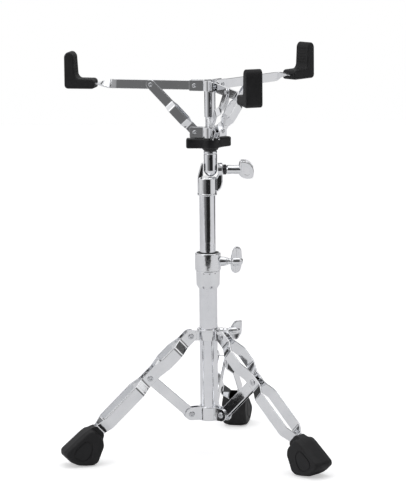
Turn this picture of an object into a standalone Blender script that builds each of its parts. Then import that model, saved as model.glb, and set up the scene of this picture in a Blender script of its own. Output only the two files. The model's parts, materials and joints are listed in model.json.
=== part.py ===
"""A folding, height-adjustable stand for a snare drum.

Three double-strip legs fold on a sliding collar, an inner tube slides and turns in a clamp,
a tilter carries a short mast, and three arms on the mast close on the drum like a basket.
Every size below is in millimetres. Heights are measured from the floor, and radii from the
axis of the column or of the basket. The finished objects are in metres, +Z up.
"""

import math

import bmesh
import bpy
from mathutils import Matrix, Vector

MM = 0.001
GAP = 0.3  # clearance between touching pieces
ROUND = 24  # sides of a large turned piece
SMALL = 12  # sides of a small turned piece

# Column
BASE_TUBE_R = 14.3
BASE_TUBE_BORE = 13.0
BASE_TUBE_Z = (58.0, 300.0)
UPPER_TUBE_R = 12.7
UPPER_TUBE_BORE = 11.2
UPPER_TUBE_Z = (150.0, 439.0)
CLAMP_Z = (271.7, 300.6, 328.4)
CLAMP_R = (15.8, 18.5, 20.5)
CLAMP_BOLT_Z = 313.6
BUSH_R = 17.4

# Tripod: the upper and lower links are equally long, so the legs fold without binding
LEG_AZIMUTHS = {"left": 197.2, "right": 317.2, "back": 77.2}
LEG_PIVOT_R = 31.5
UPPER_PIVOT_Z = 195.7
LOWER_PIVOT_Z = 69.3
MIDDLE_PIVOT_R = 99.8
MIDDLE_PIVOT_Z = (UPPER_PIVOT_Z + LOWER_PIVOT_Z) / 2
STRIP_WIDTH = 20.0
STRIP_THICK = 2.2
STRIP_AT_COLLAR = 5.5  # distance of a strip's centre plane from the leg's middle plane
STRIP_AT_MIDDLE = 6.4
STRIP_AT_FOOT = 5.9
STRIP_BULGE = 15.6
BRACE_WIDTH = 16.5
BRACE_HALF = 4.9
COLLAR_EAR = (5.2, 7.5)
LOWER_GRIP = COLLAR_EAR[1] - STRIP_THICK / 2
LUG_HALF = 4.1
LEG_RIVET_R = 3.0
LEG_RIVET_HEAD_R = 4.8
LEG_BOLT_AZIMUTH = 17.2
LEG_BOLT_Z = 199.0
FOOT_HALF = 20.0

# Tilter
TILTER_R = 15.8
TILTER_Z = (420.3, 449.7)
TILT_Z = 460.7
LUG_FACE_X = 24.6
CHEEK_HALF = 7.5
BASKET_X = 5.5  # the mast and basket stand this far to the side of the column
MAST_R = 10.7
MAST_TOP_Z = 491.2
SET_SCREW_Z = 479.0

# Basket
ROD_R = 7.75
ROD_SLEEVE_R = 8.75
ROD_Z = (470.0, 544.3, 597.0)
KNOB_Z = (491.7, 495.4, 510.8)
KNOB_WINGS = (178.0, 42.0)  # two swept wings
KNOB_REACH = 38.0
KNOB_WING_HALF = 9.0
KNOB_HUB_R = 15.5
ARM_AZIMUTHS = {"left": 166.4, "right": 46.4, "front": 286.4}
HUB_PIVOT_R = 23.7
UPPER_HUB_Z = (585.6, 602.8)
LOWER_HUB_Z = (511.6, 528.6)
UPPER_BARREL_R = 11.2
LOWER_BARREL_R = 12.1
ARM_PIVOT_Z = sum(UPPER_HUB_Z) / 2
STRUT_PIVOT_Z = sum(LOWER_HUB_Z) / 2
HUB_EAR = (3.9, 6.0)
HUB_EAR_REACH = 32.0
HUB_BORE = 9.1
ARM_TO_STRUT = 71.7  # along the arm, from its hub pivot to the strut's pivot
ARM_WIDTH = 14.7
ARM_THICK = 3.0
ARM_TWIST_R = (147.5, 186.0)
ARM_END_R = 228.0
STRUT_THICK = 1.7
STRUT_NARROW = 2.75
STRUT_BULGE = 8.4
HUB_RIVET_R = 2.5
HUB_RIVET_HEAD_R = 3.4
GRIP_HALF = 13.3

UPRIGHT = Matrix.Rotation(math.pi / 2, 4, "X")  # local XY stands up as the XZ plane
WING_TILT = 14.0  # each wing and the handle rest turned a little on their bolts
BOLT_PLATE = Matrix(((0, 0, 1, 0), (1, 0, 0, 0), (0, 1, 0, 0), (0, 0, 0, 1)))  # XY becomes YZ


# ---------------------------------------------------------------- shapes as (points, faces)


def lathe(profile, sides=ROUND):
    """A profile of (radius, height) points turned about Z. It starts and ends on the axis,
    or it is a closed loop away from it."""
    points, rings = [], []
    for radius, height in profile:
        count = 1 if radius < 1e-6 else sides
        rings.append([len(points) + i for i in range(count)])
        for i in range(count):
            turn = 2 * math.pi * i / sides
            points.append((radius * math.cos(turn), radius * math.sin(turn), height))
    pairs = list(zip(rings, rings[1:]))
    if len(rings[0]) > 1:
        pairs.append((rings[-1], rings[0]))
    faces = []
    for low, high in pairs:
        for i in range(sides):
            corners = [low[i % len(low)], low[(i + 1) % len(low)]]
            corners += [high[(i + 1) % len(high)], high[i % len(high)]]
            face = list(dict.fromkeys(corners))
            if len(face) > 2:
                faces.append(face)
    return points, faces


def loft(sections):
    """A solid through a list of equal outlines, closed by the first and the last."""
    points = [tuple(p) for section in sections for p in section]
    size = len(sections[0])
    faces = [list(range(size)), list(range(len(points) - size, len(points)))]
    for start in range(0, len(points) - size, size):
        for i in range(size):
            j = (i + 1) % size
            faces.append([start + i, start + j, start + size + j, start + size + i])
    return points, faces


def prism(outline, low, high):
    """An outline in XY extruded along Z."""
    return loft([[(x, y, z) for x, y in outline] for z in (low, high)])


def moved(shape, matrix):
    points, faces = shape
    return [tuple(matrix @ Vector(p)) for p in points], faces


def joined(*shapes):
    points, faces = [], []
    for shape_points, shape_faces in shapes:
        faces += [[len(points) + i for i in face] for face in shape_faces]
        points += shape_points
    return points, faces


def shift(x=0.0, y=0.0, z=0.0):
    return Matrix.Translation((x, y, z))


def turn_z(degrees):
    return Matrix.Rotation(math.radians(degrees), 4, "Z")


def along(direction, origin=(0, 0, 0)):
    """The matrix that carries Z onto a direction at an origin."""
    return shift(*origin) @ Vector(direction).to_track_quat("Z", "Y").to_matrix().to_4x4()


def crosswise(r, z):
    """The matrix that carries Z onto the tangent at a point of a radial plane."""
    return shift(r, 0, z) @ Matrix.Rotation(-math.pi / 2, 4, "X")


def bar(stations, thick):
    """A flat bar bent in its XY plane through stations of (x, y, half width along Z)."""
    path = [Vector(station[:2]) for station in stations]
    sections = []
    for i, (x, y, half) in enumerate(stations):
        before = (path[i] - path[max(i - 1, 0)]).normalized()
        after = (path[min(i + 1, len(path) - 1)] - path[i]).normalized()
        across = (before + after).normalized()
        cosine = across.dot(after if after.length else before)
        side = Vector((-across.y, across.x)) * thick / 2 / cosine
        low, high = path[i] - side, path[i] + side
        sections.append(
            [(low.x, low.y, -half), (high.x, high.y, -half), (high.x, high.y, half), (low.x, low.y, half)]
        )
    return loft(sections)


def rounded_end(centre, radius, sign, steps=3):
    """(position, half width) pairs that round a bar's end about a pivot."""
    pairs = []
    for i in range(steps):
        angle = math.radians(15 + 25 * i)
        pairs.append((centre + sign * radius * math.cos(angle), radius * math.sin(angle)))
    return pairs if sign < 0 else pairs[::-1]


def stadium(length, radius, steps=6):
    """The outline of a link with round ends about (0, 0) and (length, 0)."""
    outline = []
    for centre, start in ((length, -90), (0.0, 90)):
        for i in range(steps + 1):
            angle = math.radians(start + 180 * i / steps)
            outline.append((centre + radius * math.cos(angle), radius * math.sin(angle)))
    return outline


def ear_outline(inner, pivot_r, pivot_z, low, high, radius, steps=5):
    """A clevis ear in a radial plane: square at the ring, round about its pivot."""
    outline = [(inner, high), (inner, low)]
    for i in range(steps + 1):
        angle = math.radians(-90 + 180 * i / steps)
        outline.append((pivot_r + radius * math.cos(angle), pivot_z + radius * math.sin(angle)))
    return outline


def rivet(radius, head_radius, half_grip, head_height):
    """A rivet along Z, centred on the middle of its grip."""
    top = half_grip + head_height
    side = [(head_radius * 0.7, top), (head_radius, half_grip + head_height * 0.45)]
    side += [(head_radius, half_grip), (radius, half_grip)]
    profile = [(0.0, top)] + side + [(r, -z) for r, z in reversed(side)] + [(0.0, -top)]
    return lathe(profile, SMALL)


# ---------------------------------------------------------------- objects


def material(name, colour, metallic, roughness):
    made = bpy.data.materials.new(name)
    made.use_nodes = True
    shader = made.node_tree.nodes["Principled BSDF"]
    shader.inputs["Base Color"].default_value = (*colour, 1.0)
    shader.inputs["Metallic"].default_value = metallic
    shader.inputs["Roughness"].default_value = roughness
    return made


def make_object(name, shape, finish=None, parent=None, place=None):
    """An object from a shape in millimetres, placed in its parent's frame."""
    points, faces = shape
    mesh = bpy.data.meshes.new(name)
    mesh.from_pydata([Vector(p) * MM for p in points], [], faces)
    work = bmesh.new()
    work.from_mesh(mesh)
    bmesh.ops.recalc_face_normals(work, faces=work.faces)
    work.to_mesh(mesh)
    work.free()
    mesh.shade_smooth()
    mesh.set_sharp_from_angle(angle=math.radians(35))
    if finish:
        mesh.materials.append(finish)
    made = bpy.data.objects.new(name, mesh)
    bpy.context.scene.collection.objects.link(made)
    made.parent = parent
    if place:
        place = place.copy()
        place.translation *= MM
        made.matrix_basis = place
    return made


def combine(target, operation, shape):
    """A Boolean of the target with a hidden helper made in the same frame."""
    helper = make_object(target.name + "_helper", shape)
    helper.parent = target.parent
    helper.matrix_basis = target.matrix_basis
    helper.hide_render = True
    helper.display_type = "WIRE"
    modifier = target.modifiers.new(operation.title(), "BOOLEAN")
    modifier.operation = operation
    modifier.object = helper


def add(target, *shapes):
    for shape in shapes:
        combine(target, "UNION", shape)


def cut(target, *shapes):
    for shape in shapes:
        combine(target, "DIFFERENCE", shape)


def make_empty(name, parent=None, place=None):
    made = bpy.data.objects.new(name, None)
    made.empty_display_size = 0.02
    bpy.context.scene.collection.objects.link(made)
    made.parent = parent
    if place:
        place = place.copy()
        place.translation *= MM
        made.matrix_basis = place
    return made


# ---------------------------------------------------------------- column


def ring_of(shape, azimuths):
    return joined(*[moved(shape, turn_z(azimuth)) for azimuth in azimuths])


def plate_pair(outline, inner, outer):
    """Two copies of an upright outline, either side of the radial plane."""
    return joined(
        moved(prism(outline, inner, outer), UPRIGHT), moved(prism(outline, -outer, -inner), UPRIGHT)
    )


def make_column(root, chrome, nylon):
    low, high = BASE_TUBE_Z
    r, bore = BASE_TUBE_R, BASE_TUBE_BORE
    make_object("base_tube", lathe([(bore, low), (r, low), (r, high), (bore, high)]), chrome, root)

    bottom, middle, top = CLAMP_Z
    taper, skirt, body = CLAMP_R
    bore, seat = BASE_TUBE_R + GAP, BUSH_R + GAP
    clamp = make_object(
        "height_clamp",
        lathe(
            [(bore, bottom), (taper, bottom), (skirt, bottom + 4), (skirt + 0.6, middle)]
            + [(body, middle), (body, top - 1), (body - 1, top)]
            + [(seat, top), (seat, middle), (bore, middle)]
        ),
        chrome,
        root,
    )
    boss = lathe([(0, 19), (7.8, 19), (7.8, 27), (6.6, 30), (0, 30)], SMALL + 4)
    bolt_axis = along((1, 0, 0), (0, 0, CLAMP_BOLT_Z))
    add(clamp, moved(boss, bolt_axis))
    cut(clamp, moved(lathe([(0, 16), (3.3, 16), (3.3, 32), (0, 32)], SMALL), bolt_axis))

    bore, flange = UPPER_TUBE_R + GAP, BUSH_R
    lip = [(flange, top - 2), (bore + 1.5, top + 1), (bore, top + 1)]
    make_object(
        "clamp_bush",
        lathe([(bore, middle + GAP), (flange, middle + GAP)] + lip),
        nylon,
        make_empty("swivel_axis", root),
    )

    bolt = make_object(
        "clamp_wing_bolt",
        lathe(
            [(0, BUSH_R + 0.9), (3, BUSH_R + 0.9), (3, 30.3), (6, 30.3), (4.6, 35), (7.4, 39)]
            + [(7.4, 50), (5, 54.5), (0, 55.6)],
            SMALL,
        ),
        chrome,
        make_empty("clamp_bolt_axis", root, bolt_axis),
    )
    wings = [(36, 5), (39, 19), (43, 25.5), (48, 26), (52.5, 22), (54, 12), (54, -4)]
    wings += [(51.5, -16), (46, -20.5), (40, -19.5), (36.5, -15), (35.5, -4)]
    add(bolt, wing_plate(wings, 2.4))


def wing_plate(outline, half):
    """A wing outline of (along the bolt, above the bolt), set in a bolt's own frame."""
    plate = prism([(height, reach) for reach, height in outline], -half, half)
    return moved(plate, turn_z(WING_TILT) @ BOLT_PLATE)


def make_upper_tube(root, chrome):
    slide = make_empty("height_axis", root)
    low, high = UPPER_TUBE_Z
    r, bore = UPPER_TUBE_R, UPPER_TUBE_BORE
    make_object("upper_tube", lathe([(bore, low), (r, low), (r, high), (bore, high)]), chrome, slide)

    bottom, top = TILTER_Z
    r, socket = TILTER_R, UPPER_TUBE_R + GAP
    tilter = make_object(
        "tilter_body",
        lathe(
            [(socket, bottom), (r - 1, bottom), (r, bottom + 1), (r, bottom + 2.4), (r - 0.6, bottom + 3)]
            + [(r - 0.6, top - 1.5), (r - 1.6, top), (0, top), (0, high + GAP), (socket, high + GAP)]
        ),
        chrome,
        slide,
    )
    inner = BASKET_X - MAST_R - 0.7
    left_cheek = [(-14.8, 446), (-14.8, 450), (inner - 3.2, 471), (inner, 472), (inner, 452)]
    left_cheek += [(-9, 448.6), (-9, 446)]
    inner = BASKET_X + MAST_R + 0.7
    lug = [(14, 426), (18, 427), (22.6, 432), (LUG_FACE_X, 440), (LUG_FACE_X, 466), (22, 471), (inner, 471)]
    lug += [(inner, 452), (14.4, 448.6), (14, 446)]
    tilt_line = along((1, 0, 0), (0, 0, TILT_Z))
    add(
        tilter,
        moved(prism(left_cheek, -CHEEK_HALF, CHEEK_HALF), UPRIGHT),
        moved(prism(lug, -CHEEK_HALF, CHEEK_HALF), UPRIGHT),
        moved(lathe([(0, inner), (11, inner), (11, LUG_FACE_X), (0, LUG_FACE_X)]), tilt_line),
    )
    cut(tilter, moved(lathe([(0, 15), (3.4, 15), (3.4, 26), (0, 26)], SMALL), tilt_line))

    handle = make_object(
        "tilter_bolt",
        lathe(
            [(0, 18), (3, 18), (3, 24.9), (7.2, 24.9), (8, 26), (8, 29), (6.6, 30.5)]
            + [(7.6, 32), (7.2, 49), (7.2, 53), (0, 53)],
            SMALL + 4,
        ),
        chrome,
        make_empty("tilter_bolt_axis", slide, tilt_line),
    )
    head = [(50, 8), (52, 14.5), (54, 15.6), (61, 15.6), (67, 13), (72, 6), (74, -3), (73.4, -11)]
    head += [(70, -14.6), (60, -14.2), (55, -12), (50, -8)]
    add(handle, wing_plate(head, 6.4))
    return slide


# ---------------------------------------------------------------- tripod


def make_leg_hubs(root, chrome):
    azimuths = LEG_AZIMUTHS.values()
    r = BASE_TUBE_R + GAP
    lower = make_object(
        "lower_collar",
        lathe([(r, 57.6), (r + 2.6, 57.6), (r + 3, 59), (r + 3, 79), (r + 2.4, 80), (r, 80)]),
        chrome,
        root,
    )
    ear = ear_outline(r + 0.5, LEG_PIVOT_R, LOWER_PIVOT_Z, 58.8, 79.8, 10.2)
    add(lower, ring_of(plate_pair(ear, *COLLAR_EAR), azimuths))
    hole = lathe([(0, -20), (LEG_RIVET_R + GAP, -20), (LEG_RIVET_R + GAP, 20), (0, 20)], SMALL)
    cut(lower, ring_of(moved(hole, crosswise(LEG_PIVOT_R, LOWER_PIVOT_Z)), azimuths))

    carrier = make_empty("leg_collar_axis", root, shift(z=UPPER_PIVOT_Z))
    r = BASE_TUBE_R + 0.5
    collar = make_object(
        "leg_collar",
        lathe(
            [(r, 187.3), (r + 2.2, 187.3), (r + 2.8, 189), (r + 2.8, 203), (r + 3.8, 204)]
            + [(r + 3.8, 206), (r, 206)]
        ),
        chrome,
        carrier,
        shift(z=-UPPER_PIVOT_Z),
    )
    lug = ear_outline(r + 0.5, LEG_PIVOT_R, UPPER_PIVOT_Z, 187.6, 203.8, 8.0)
    add(collar, ring_of(moved(prism(lug, -LUG_HALF, LUG_HALF), UPRIGHT), azimuths))
    cut(collar, ring_of(moved(hole, crosswise(LEG_PIVOT_R, UPPER_PIVOT_Z)), azimuths))
    direction = turn_z(LEG_BOLT_AZIMUTH) @ Vector((1, 0, 0))
    bolt_axis = along(direction, (0, 0, LEG_BOLT_Z))
    add(collar, moved(lathe([(0, 16.5), (6.4, 16.5), (6.4, 24), (0, 24)], SMALL), bolt_axis))
    cut(collar, moved(lathe([(0, 10), (3.3, 10), (3.3, 25), (0, 25)], SMALL), bolt_axis))

    bolt = make_object(
        "leg_wing_bolt",
        lathe(
            [(0, 15.1), (3, 15.1), (3, 24.3), (5.4, 24.3), (5.4, 29), (4.2, 33), (6.4, 37)]
            + [(6.4, 46), (4.6, 51), (0, 52)],
            SMALL,
        ),
        chrome,
        make_empty("leg_bolt_axis", carrier, shift(z=-UPPER_PIVOT_Z) @ bolt_axis),
    )
    wings = [(36, 4), (40, 13), (44, 17.5), (52, 18.2), (55, 16), (55.6, -5), (50, -16)]
    wings += [(45, -16.5), (39, -11), (36, -4)]
    add(bolt, wing_plate(wings, 2.2))


def strip_stations():
    """The half-thickness path of a leg strip: narrow at its joints and bulged between them."""
    link = math.hypot(MIDDLE_PIVOT_R - LEG_PIVOT_R, UPPER_PIVOT_Z - MIDDLE_PIVOT_Z)
    half = STRIP_WIDTH / 2
    stations = [(s, STRIP_AT_COLLAR, width) for s, width in rounded_end(0.0, half, -1)]
    stations += [(16, STRIP_AT_COLLAR, half), (33, STRIP_BULGE, half), (60, STRIP_BULGE, half)]
    stations += [(link - 13, STRIP_AT_MIDDLE, half), (link + 11, STRIP_AT_MIDDLE, half)]
    stations += [(link + 27, STRIP_BULGE, half), (link + 97, STRIP_BULGE, half)]
    stations += [(link + 112, STRIP_AT_FOOT, half - 0.6), (link + 142, STRIP_AT_FOOT, half - 0.6)]
    return stations, link


def floor_offset(s):
    """How far from the leg's line, square to it, the floor is at a distance down the leg."""
    rise, run = UPPER_PIVOT_Z - MIDDLE_PIVOT_Z, MIDDLE_PIVOT_R - LEG_PIVOT_R
    slope = math.atan2(rise, run)
    return (s * math.sin(slope) - UPPER_PIVOT_Z) / math.cos(slope)


def foot_outline(neck, inset):
    """The foot's side outline as (along the leg, square to the leg), less an inset."""
    outline = [(213 - neck, 9.6), (218, 14.6), (228, 16.6), (271, 18.4), (276, 14), (275.4, -2)]
    outline += [(270.5, -14.5), (263, floor_offset(263)), (254, floor_offset(254)), (245, -33.6)]
    outline += [(232, -27.6), (219.5, -21.5), (214, -14), (213 - neck, -9.6)]
    centre = Vector((245, -6))
    shrunk = []
    for point in outline:
        offset = Vector(point) - centre
        shrunk.append(centre + offset * (1 - inset / offset.length))
    return shrunk


def make_leg(side, root, chrome, rubber):
    azimuth = LEG_AZIMUTHS[side]
    stations, link = strip_stations()
    slope = math.atan2(UPPER_PIVOT_Z - MIDDLE_PIVOT_Z, MIDDLE_PIVOT_R - LEG_PIVOT_R)

    brace_axis = make_empty(
        f"brace_{side}_axis", root, turn_z(azimuth) @ shift(LEG_PIVOT_R, 0, LOWER_PIVOT_Z)
    )
    leg_axis = make_empty(
        f"leg_{side}_axis",
        brace_axis,
        shift(MIDDLE_PIVOT_R - LEG_PIVOT_R, 0, MIDDLE_PIVOT_Z - LOWER_PIVOT_Z),
    )
    # leg frame: X runs down the leg from its upper pivot, Z is square to it in the radial plane
    leg_frame = Matrix.Rotation(slope, 4, "Y") @ shift(-link, 0, 0)

    hole = lathe([(0, -30), (LEG_RIVET_R + GAP, -30), (LEG_RIVET_R + GAP, 30), (0, 30)], SMALL)
    holes = joined(moved(hole, crosswise(0, 0)), moved(hole, crosswise(link, 0)))
    for face, sign in (("a", 1), ("b", -1)):
        path = [(s, sign * y, half) for s, y, half in stations]
        strip = make_object(f"leg_{side}_strip_{face}", bar(path, STRIP_THICK), chrome, leg_axis, leg_frame)
        cut(strip, holes)

    # brace: a channel with round ends, its open side facing down and in
    brace_frame = Matrix.Rotation(-slope, 4, "Y")
    radius = BRACE_WIDTH / 2
    brace = make_object(
        f"brace_{side}",
        moved(prism(stadium(link, radius), -BRACE_HALF, BRACE_HALF), UPRIGHT),
        chrome,
        brace_axis,
        brace_frame,
    )
    wall = 1.7
    pocket = [(-20, -20), (link + 20, -20), (link + 20, radius - wall), (-20, radius - wall)]
    cut(brace, moved(prism(pocket, wall - BRACE_HALF, BRACE_HALF - wall), UPRIGHT), holes)

    heads = {
        "upper": (leg_axis, leg_frame @ crosswise(0, 0), STRIP_AT_COLLAR),
        "middle": (leg_axis, leg_frame @ crosswise(link, 0), STRIP_AT_MIDDLE),
        "lower": (root, turn_z(azimuth) @ crosswise(LEG_PIVOT_R, LOWER_PIVOT_Z), LOWER_GRIP),
    }
    for level, (parent, place, centre) in heads.items():
        grip = centre + STRIP_THICK / 2 + GAP
        shape = rivet(LEG_RIVET_R, LEG_RIVET_HEAD_R, grip, 1.3)
        make_object(f"{level}_rivet_{side}", shape, chrome, parent, place)

    sections = []
    # from the soft side face in to the narrow neck: (half width, neck length, inset)
    for y, neck, inset in ((FOOT_HALF, 0, 4), (FOOT_HALF - 3.5, 0, 0.8), (9.5, 0, 0), (8.6, 6.5, 0)):
        sections.append((y, foot_outline(neck, inset)))
    sections += [(-y, outline) for y, outline in reversed(sections)]
    foot = make_object(
        f"foot_{side}",
        loft([[(s, y, n) for s, n in outline] for y, outline in sections]),
        rubber,
        leg_axis,
        leg_frame,
    )
    reach = STRIP_AT_FOOT + STRIP_THICK / 2 + GAP
    half = STRIP_WIDTH / 2 - 0.6 + GAP
    socket = [(200, -reach), (link + 143, -reach), (link + 143, reach), (200, reach)]
    cut(foot, prism(socket, -half, half))


# ---------------------------------------------------------------- basket


def make_mast(slide, chrome):
    tilt = make_empty("tilt_axis", slide, shift(BASKET_X, 0, TILT_Z))
    lower = shift(z=-TILT_Z)
    r = MAST_R
    turns = [math.radians(angle) for angle in (-75, -50, -25, 0)]
    ball = [(r * math.cos(turn), TILT_Z + r * math.sin(turn)) for turn in turns]
    bore = ROD_R + GAP
    mast = make_object(
        "mast",
        lathe(
            [(0, TILT_Z - r)] + ball + [(r, MAST_TOP_Z - 0.8), (r - 0.8, MAST_TOP_Z), (bore, MAST_TOP_Z)]
            + [(bore, ROD_Z[0] - GAP), (0, ROD_Z[0] - GAP)]
        ),
        chrome,
        tilt,
        lower,
    )
    screw = lathe([(0, 8.2), (1.6, 8.2), (1.6, 12), (0, 12)], SMALL)
    cut(mast, moved(screw, along((0, -1, 0), (0, 0, SET_SCREW_Z))))
    bottom, step, top = ROD_Z
    rod = [(0, bottom), (ROD_R, bottom), (ROD_R, step)]
    rod += [(ROD_SLEEVE_R, step + 0.6), (ROD_SLEEVE_R, top), (0, top)]
    make_object("basket_rod", lathe(rod), chrome, tilt, lower)
    return tilt, lower


def knob_outline():
    """Two swept wings with rounded tips on a round hub, seen from above."""
    outline = []
    half = KNOB_WING_HALF
    corner = 4.0
    first, second = KNOB_WINGS
    for wing, following in ((first, second + 360), (second, first)):
        turn = turn_z(wing)
        side = [(21, -half), (KNOB_REACH - corner, -half)]
        side += [(KNOB_REACH - corner * 0.3, -half + corner * 0.3), (KNOB_REACH, -half + corner)]
        for x, y in side + [(x, -y) for x, y in reversed(side)]:
            outline.append((turn @ Vector((x, y, 0))).to_2d())
        steps = round((following - wing - 96) / 12)
        for i in range(steps + 1):
            angle = math.radians(wing + 48 + (following - wing - 96) * i / steps)
            outline.append(Vector((KNOB_HUB_R * math.cos(angle), KNOB_HUB_R * math.sin(angle))))
    return outline


def hub_rivet_hole():
    r = HUB_RIVET_R + GAP
    return lathe([(0, -12), (r, -12), (r, 12), (0, 12)], SMALL)


def make_hub(name, heights, barrel_r, chrome, parent, place):
    low, high = heights
    centre = (low + high) / 2
    bore = HUB_BORE
    barrel = lathe([(bore, low), (barrel_r, low), (barrel_r, high), (bore, high)])
    hub = make_object(name, barrel, chrome, parent, place)
    corner = 1.5
    reach = HUB_EAR_REACH
    ear = [(9.6, high - 0.1), (9.6, low + 0.1), (reach - corner, low + 0.1), (reach, low + corner)]
    ear += [(reach, high - corner), (reach - corner, high - 0.1)]
    azimuths = ARM_AZIMUTHS.values()
    add(hub, ring_of(plate_pair(ear, *HUB_EAR), azimuths))
    hole = hub_rivet_hole()
    cut(hub, ring_of(moved(hole, crosswise(HUB_PIVOT_R, centre)), azimuths))
    bore_cut = lathe([(0, low - 5), (bore, low - 5), (bore, high + 5), (0, high + 5)], ROUND)
    cut(hub, bore_cut)
    for side, azimuth in ARM_AZIMUTHS.items():
        shape = rivet(HUB_RIVET_R, HUB_RIVET_HEAD_R, HUB_EAR[1] + 0.2, 1.0)
        rivet_place = place @ turn_z(azimuth) @ crosswise(HUB_PIVOT_R, centre)
        make_object(f"{name}_rivet_{side}", shape, chrome, parent, rivet_place)


def arm_sections():
    """Upright at the hub, a quarter twist, then flat in the grip."""
    half, thick = ARM_WIDTH / 2, ARM_THICK / 2
    stations = [(HUB_PIVOT_R + x, w, 0.0) for x, w in rounded_end(0.0, half, -1)]
    stations += [(HUB_PIVOT_R, half, 0.0), (ARM_TWIST_R[0], half, 0.0)]
    start, end = ARM_TWIST_R
    steps = 8
    for i in range(1, steps + 1):
        share = i / steps
        smooth = share * share * (3 - 2 * share)
        stations.append((start + (end - start) * share, half - 0.2 * share, 90 * smooth))
    stations.append((ARM_END_R, half - 0.2, 90.0))
    sections = []
    for x, w, degrees in stations:
        c, s = math.cos(math.radians(degrees)), math.sin(math.radians(degrees))
        corners = [(-thick, -w), (thick, -w), (thick, w), (-thick, w)]
        sections.append([(x, c * y - s * z, s * y + c * z) for y, z in corners])
    return sections


def make_arm(side, tilt, lower, hub_axis, chrome, rubber):
    azimuth = ARM_AZIMUTHS[side]
    frame = turn_z(azimuth)
    place = lower @ frame @ shift(HUB_PIVOT_R, 0, ARM_PIVOT_Z)
    arm_axis = make_empty(f"arm_{side}_axis", tilt, place)
    hole = hub_rivet_hole()
    arm = make_object(f"arm_{side}", loft(arm_sections()), chrome, arm_axis, shift(-HUB_PIVOT_R, 0, 0))
    cut(arm, moved(hole, crosswise(HUB_PIVOT_R, 0)))

    outline = [(185, 588.6), (187, 586.6), (231, 586), (234, 589), (234, 640), (231, 644), (222, 644)]
    outline += [(218.6, 640.6), (216.6, 607), (212, 602), (188, 602), (185, 599.6)]
    centre = Vector((215, 600))
    rise = ARM_PIVOT_Z
    sections = []
    for y, inset in ((GRIP_HALF, 1.6), (GRIP_HALF - 1.8, 0.0)):
        ring = []
        for point in outline:
            offset = Vector(point) - centre
            x, z = centre + offset * (1 - inset / offset.length)
            ring.append((x, y, z - rise))
        sections.append(ring)
    sections += [[(x, -y, z) for x, y, z in ring] for ring in reversed(sections)]
    grip = make_object(f"grip_{side}", loft(sections), rubber, arm_axis, shift(-HUB_PIVOT_R, 0, 0))
    half, thick = ARM_WIDTH / 2 - 0.2 + GAP, ARM_THICK / 2 + GAP
    slot = [(180, -half), (ARM_END_R + 0.5, -half), (ARM_END_R + 0.5, half), (180, half)]
    cut(grip, prism(slot, -thick, thick))

    # strut: two straps from the lower hub to the arm, bulged apart between their ends
    strut_axis = make_empty(f"strut_{side}_axis", hub_axis, frame @ shift(HUB_PIVOT_R))
    rise = ARM_PIVOT_Z - STRUT_PIVOT_Z
    length = math.hypot(ARM_TO_STRUT, rise)
    strut_frame = Matrix.Rotation(-math.atan2(rise, ARM_TO_STRUT), 4, "Y")
    half = ARM_WIDTH / 2
    stations = [(x, STRUT_NARROW, w) for x, w in rounded_end(0.0, half, -1)]
    stations += [(0, STRUT_NARROW, half), (15, STRUT_NARROW, half), (23, STRUT_BULGE, half)]
    stations += [(52, STRUT_BULGE, half), (60, STRUT_NARROW, half), (length, STRUT_NARROW, half)]
    stations += [(x, STRUT_NARROW, w) for x, w in rounded_end(length, half, 1)]
    for face, sign in (("a", 1), ("b", -1)):
        path = [(x, sign * y, w) for x, y, w in stations]
        name = f"strut_{side}_{face}"
        strap = make_object(name, bar(path, STRUT_THICK), chrome, strut_axis, strut_frame)
        cut(strap, moved(hole, crosswise(0, 0)), moved(hole, crosswise(length, 0)))
        inner = STRUT_NARROW - STRUT_THICK / 2
        outer = STRUT_NARROW + STRUT_THICK / 2 + 0.2
        r, head = HUB_RIVET_R, HUB_RIVET_HEAD_R
        profile = [(0, inner), (r, inner), (r, outer), (head, outer), (head, outer + 0.6)]
        profile += [(head * 0.7, outer + 1), (0, outer + 1)]
        place = strut_frame @ shift(length) @ Matrix.Rotation(-sign * math.pi / 2, 4, "X")
        make_object(f"strut_rivet_{side}_{face}", lathe(profile, SMALL), chrome, strut_axis, place)


def make_basket(slide, chrome, nylon, rubber):
    tilt, lower = make_mast(slide, chrome)
    make_hub("upper_hub", UPPER_HUB_Z, UPPER_BARREL_R, chrome, tilt, lower)
    hub_axis = make_empty("lower_hub_axis", tilt, lower @ shift(z=STRUT_PIVOT_Z))
    make_hub("lower_hub", LOWER_HUB_Z, LOWER_BARREL_R, chrome, hub_axis, shift(z=-STRUT_PIVOT_Z))

    low, base, top = KNOB_Z
    knob = make_object(
        "basket_knob", prism(knob_outline(), base, top), nylon, make_empty("knob_axis", tilt, lower)
    )
    add(knob, lathe([(0, low), (11.4, low), (13.4, base), (13.4, base + 3), (0, base + 3)]))
    cut(knob, lathe([(0, low - 3), (ROD_R + GAP, low - 3), (ROD_R + GAP, top + 3), (0, top + 3)]))
    for side in ARM_AZIMUTHS:
        make_arm(side, tilt, lower, hub_axis, chrome, rubber)


# ---------------------------------------------------------------- the stand


def footprint_centre():
    """The middle of the visible objects' bounding box on the floor."""
    bpy.context.view_layer.update()
    graph = bpy.context.evaluated_depsgraph_get()
    corners = []
    for thing in bpy.data.objects:
        if thing.type == "MESH" and not thing.hide_render:
            shown = thing.evaluated_get(graph)
            corners += [shown.matrix_world @ Vector(corner) for corner in shown.bound_box]
    return [(min(c[i] for c in corners) + max(c[i] for c in corners)) / 2 for i in range(2)]


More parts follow.
